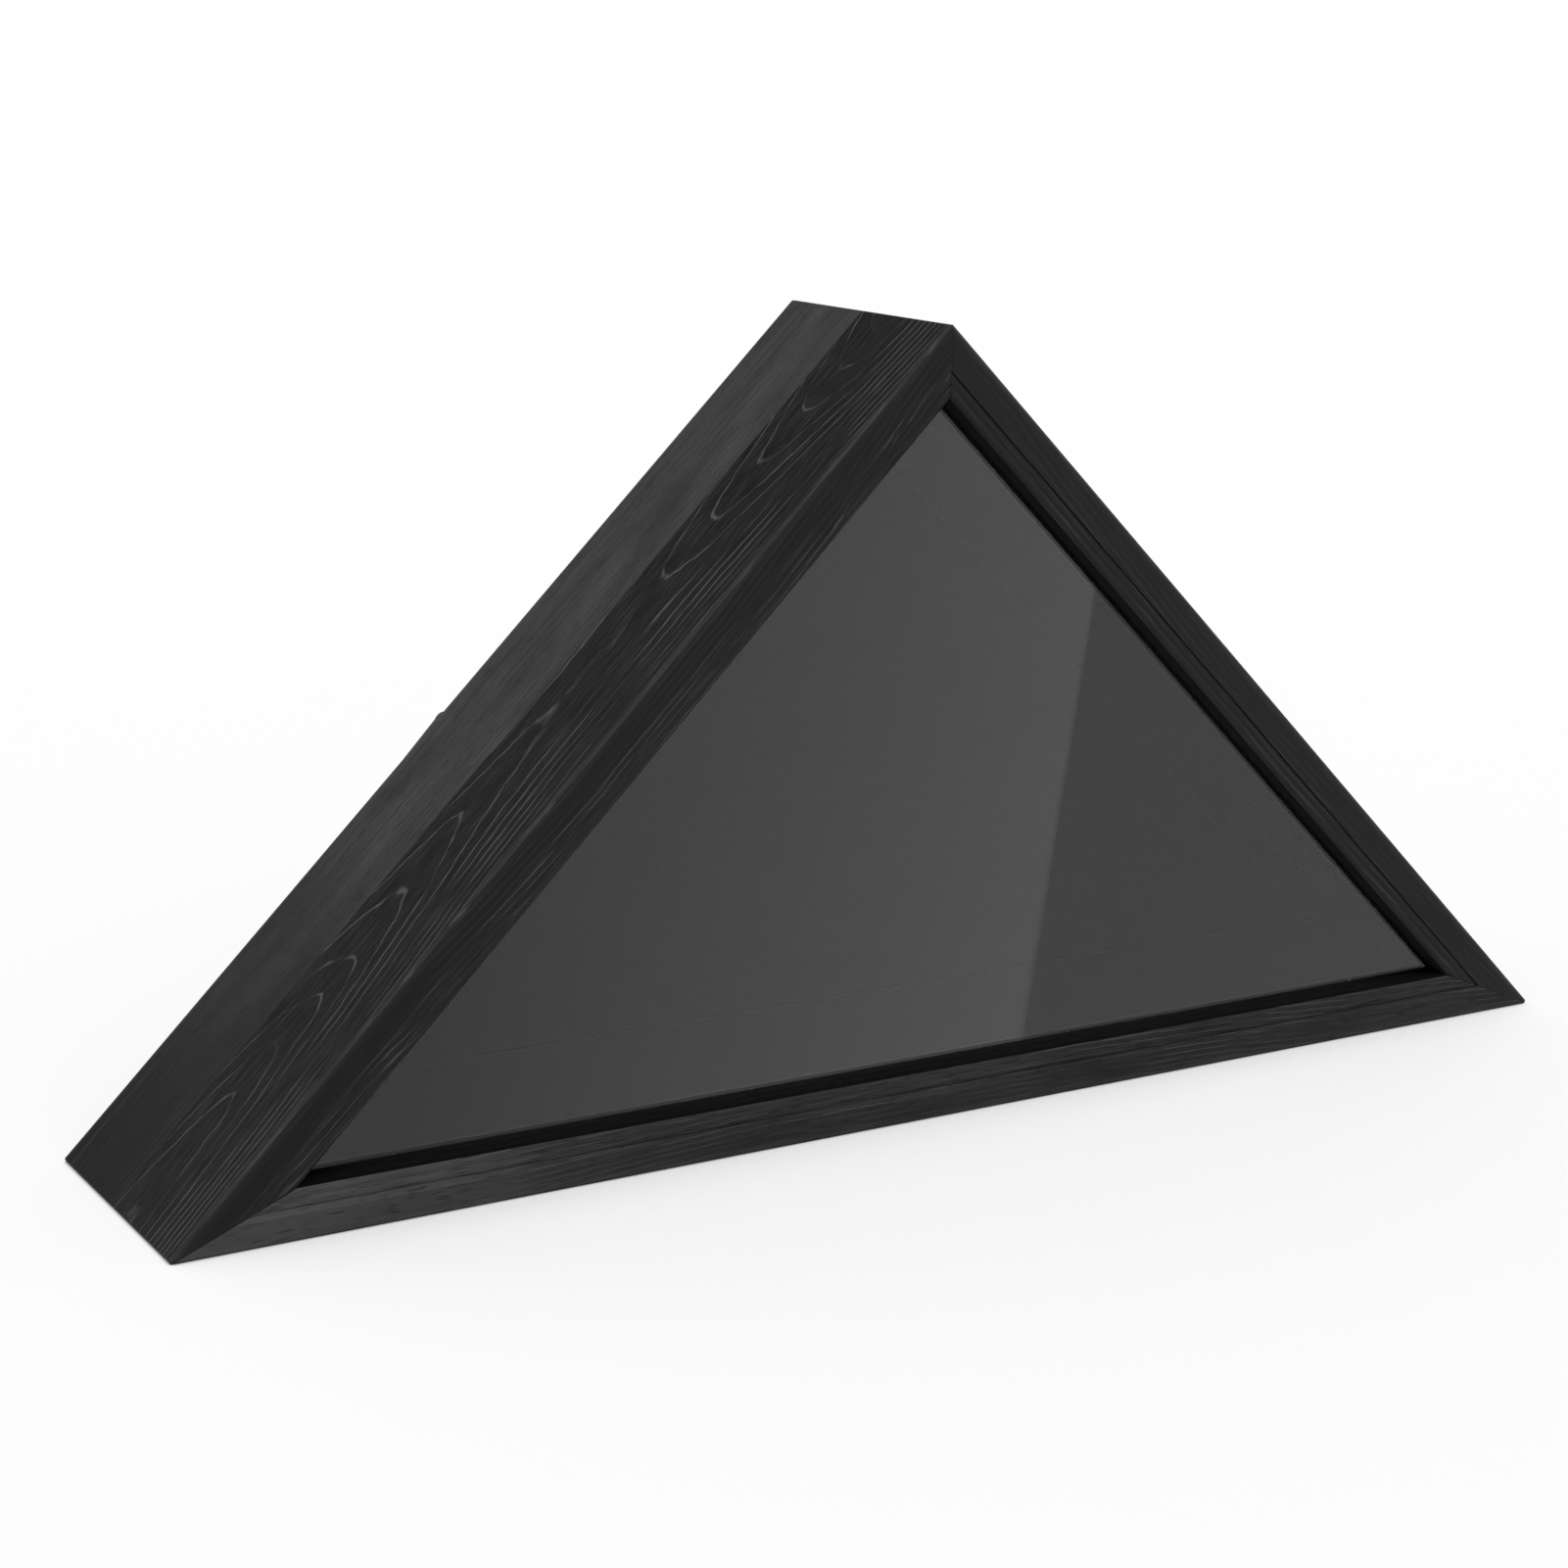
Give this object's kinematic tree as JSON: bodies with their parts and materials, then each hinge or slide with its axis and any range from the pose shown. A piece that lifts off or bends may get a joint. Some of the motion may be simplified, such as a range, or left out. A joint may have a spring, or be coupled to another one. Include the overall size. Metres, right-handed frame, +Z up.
{
  "type": "memorial display case",
  "caption": "Triangular wooden display case with a glass front and a lift-out rear panel held by turn buttons, to stand on its base or hang on a wall.",
  "frame": {"origin": "middle of the underside of the base rail, halfway between the front and rear edges of the wood", "axes": "+X along the base to the right as seen from the front, +Y from the front to the rear, +Z up to the apex"},
  "size_m": [0.4382, 0.0858, 0.217],
  "materials": {
    "ebonised_oak": "black-stained open-grain wood, satin lacquer",
    "ebonised_pine": "black-stained softwood strip",
    "beech": "raw planed beech",
    "float_glass": "clear float glass",
    "hardboard": "black-painted fibreboard",
    "black_velvet": "black velvet on card",
    "zinc_plate": "zinc-plated stamped steel",
    "bright_steel": "bright drawn steel",
    "rubber": "matt black rubber"
  },
  "bodies": {
    "case": {"left_front_board": "ebonised_oak", "left_rear_board": "ebonised_oak", "right_front_board": "ebonised_oak", "right_rear_board": "ebonised_oak", "base_front_board": "ebonised_oak", "base_rear_board": "ebonised_oak", "mitre_splines": "beech", "mitre_v_nails": "bright_steel", "apex_block": "ebonised_oak", "glass_pane": "float_glass", "left_glass_strip": "ebonised_pine", "right_glass_strip": "ebonised_pine", "base_glass_strip": "ebonised_pine", "glass_strip_brads": "bright_steel", "turn_button_washers": "zinc_plate", "turn_button_screws": "zinc_plate", "sawtooth_hanger": "zinc_plate", "hanger_nails": "bright_steel", "left_wall_bumper": "rubber", "right_wall_bumper": "rubber"},
    "rear_panel": {"back_panel": "hardboard", "back_lining": "black_velvet"},
    "left_button": {"left_turn_button": "zinc_plate"},
    "right_button": {"right_turn_button": "zinc_plate"},
    "base_button": {"base_turn_button": "zinc_plate"}
  },
  "joints": [
    {"name": "back_panel_lift", "type": "slide", "parent": "case", "child": "rear_panel", "axis": [0, 1, 0], "range_m": [0, 0.06]},
    {"name": "left_button_turn", "type": "hinge", "parent": "case", "child": "left_button", "pos_m": [-0.10736, 0.041, 0.10608], "axis": [0, -1, 0], "range_deg": [0, 90]},
    {"name": "right_button_turn", "type": "hinge", "parent": "case", "child": "right_button", "pos_m": [0.10736, 0.041, 0.10608], "axis": [0, 1, 0], "range_deg": [0, 90]},
    {"name": "base_button_turn", "type": "hinge", "parent": "case", "child": "base_button", "pos_m": [0, 0.041, 0.00375], "axis": [0, 1, 0], "range_deg": [0, 90]}
  ]
}
